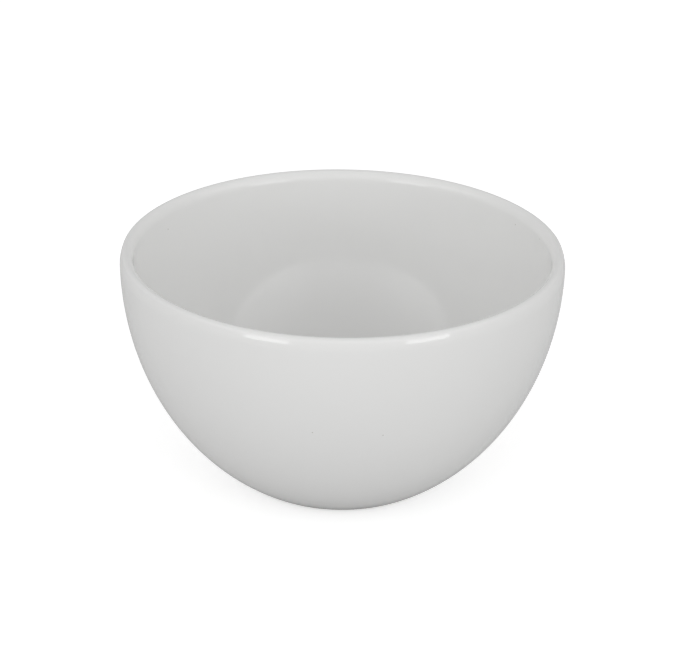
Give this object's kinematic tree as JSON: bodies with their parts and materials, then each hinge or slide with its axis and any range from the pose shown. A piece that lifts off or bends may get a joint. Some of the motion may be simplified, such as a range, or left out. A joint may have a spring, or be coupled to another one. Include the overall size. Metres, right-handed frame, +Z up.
{
  "type": "soup cup",
  "caption": "Handleless round soup cup: a deep bowl-shaped porcelain body with a rounded lip, clear gloss glaze inside and out, and a bare foot ring under a shallow recess.",
  "frame": {"origin": "centre of the foot ring, on the table that the cup stands on", "axes": "+Z up along the cup's axis of rotation; +X and +Y are free, because the cup is round"},
  "size_m": [0.12, 0.12, 0.066],
  "materials": {
    "bare_porcelain": "fired, unglazed and wiped, matte",
    "clear_glaze": "clear gloss glaze over white porcelain"
  },
  "bodies": {
    "root": {"porcelain_body": "bare_porcelain", "glaze_coat": "clear_glaze", "foot_recess_glaze": "clear_glaze"}
  },
  "joints": []
}
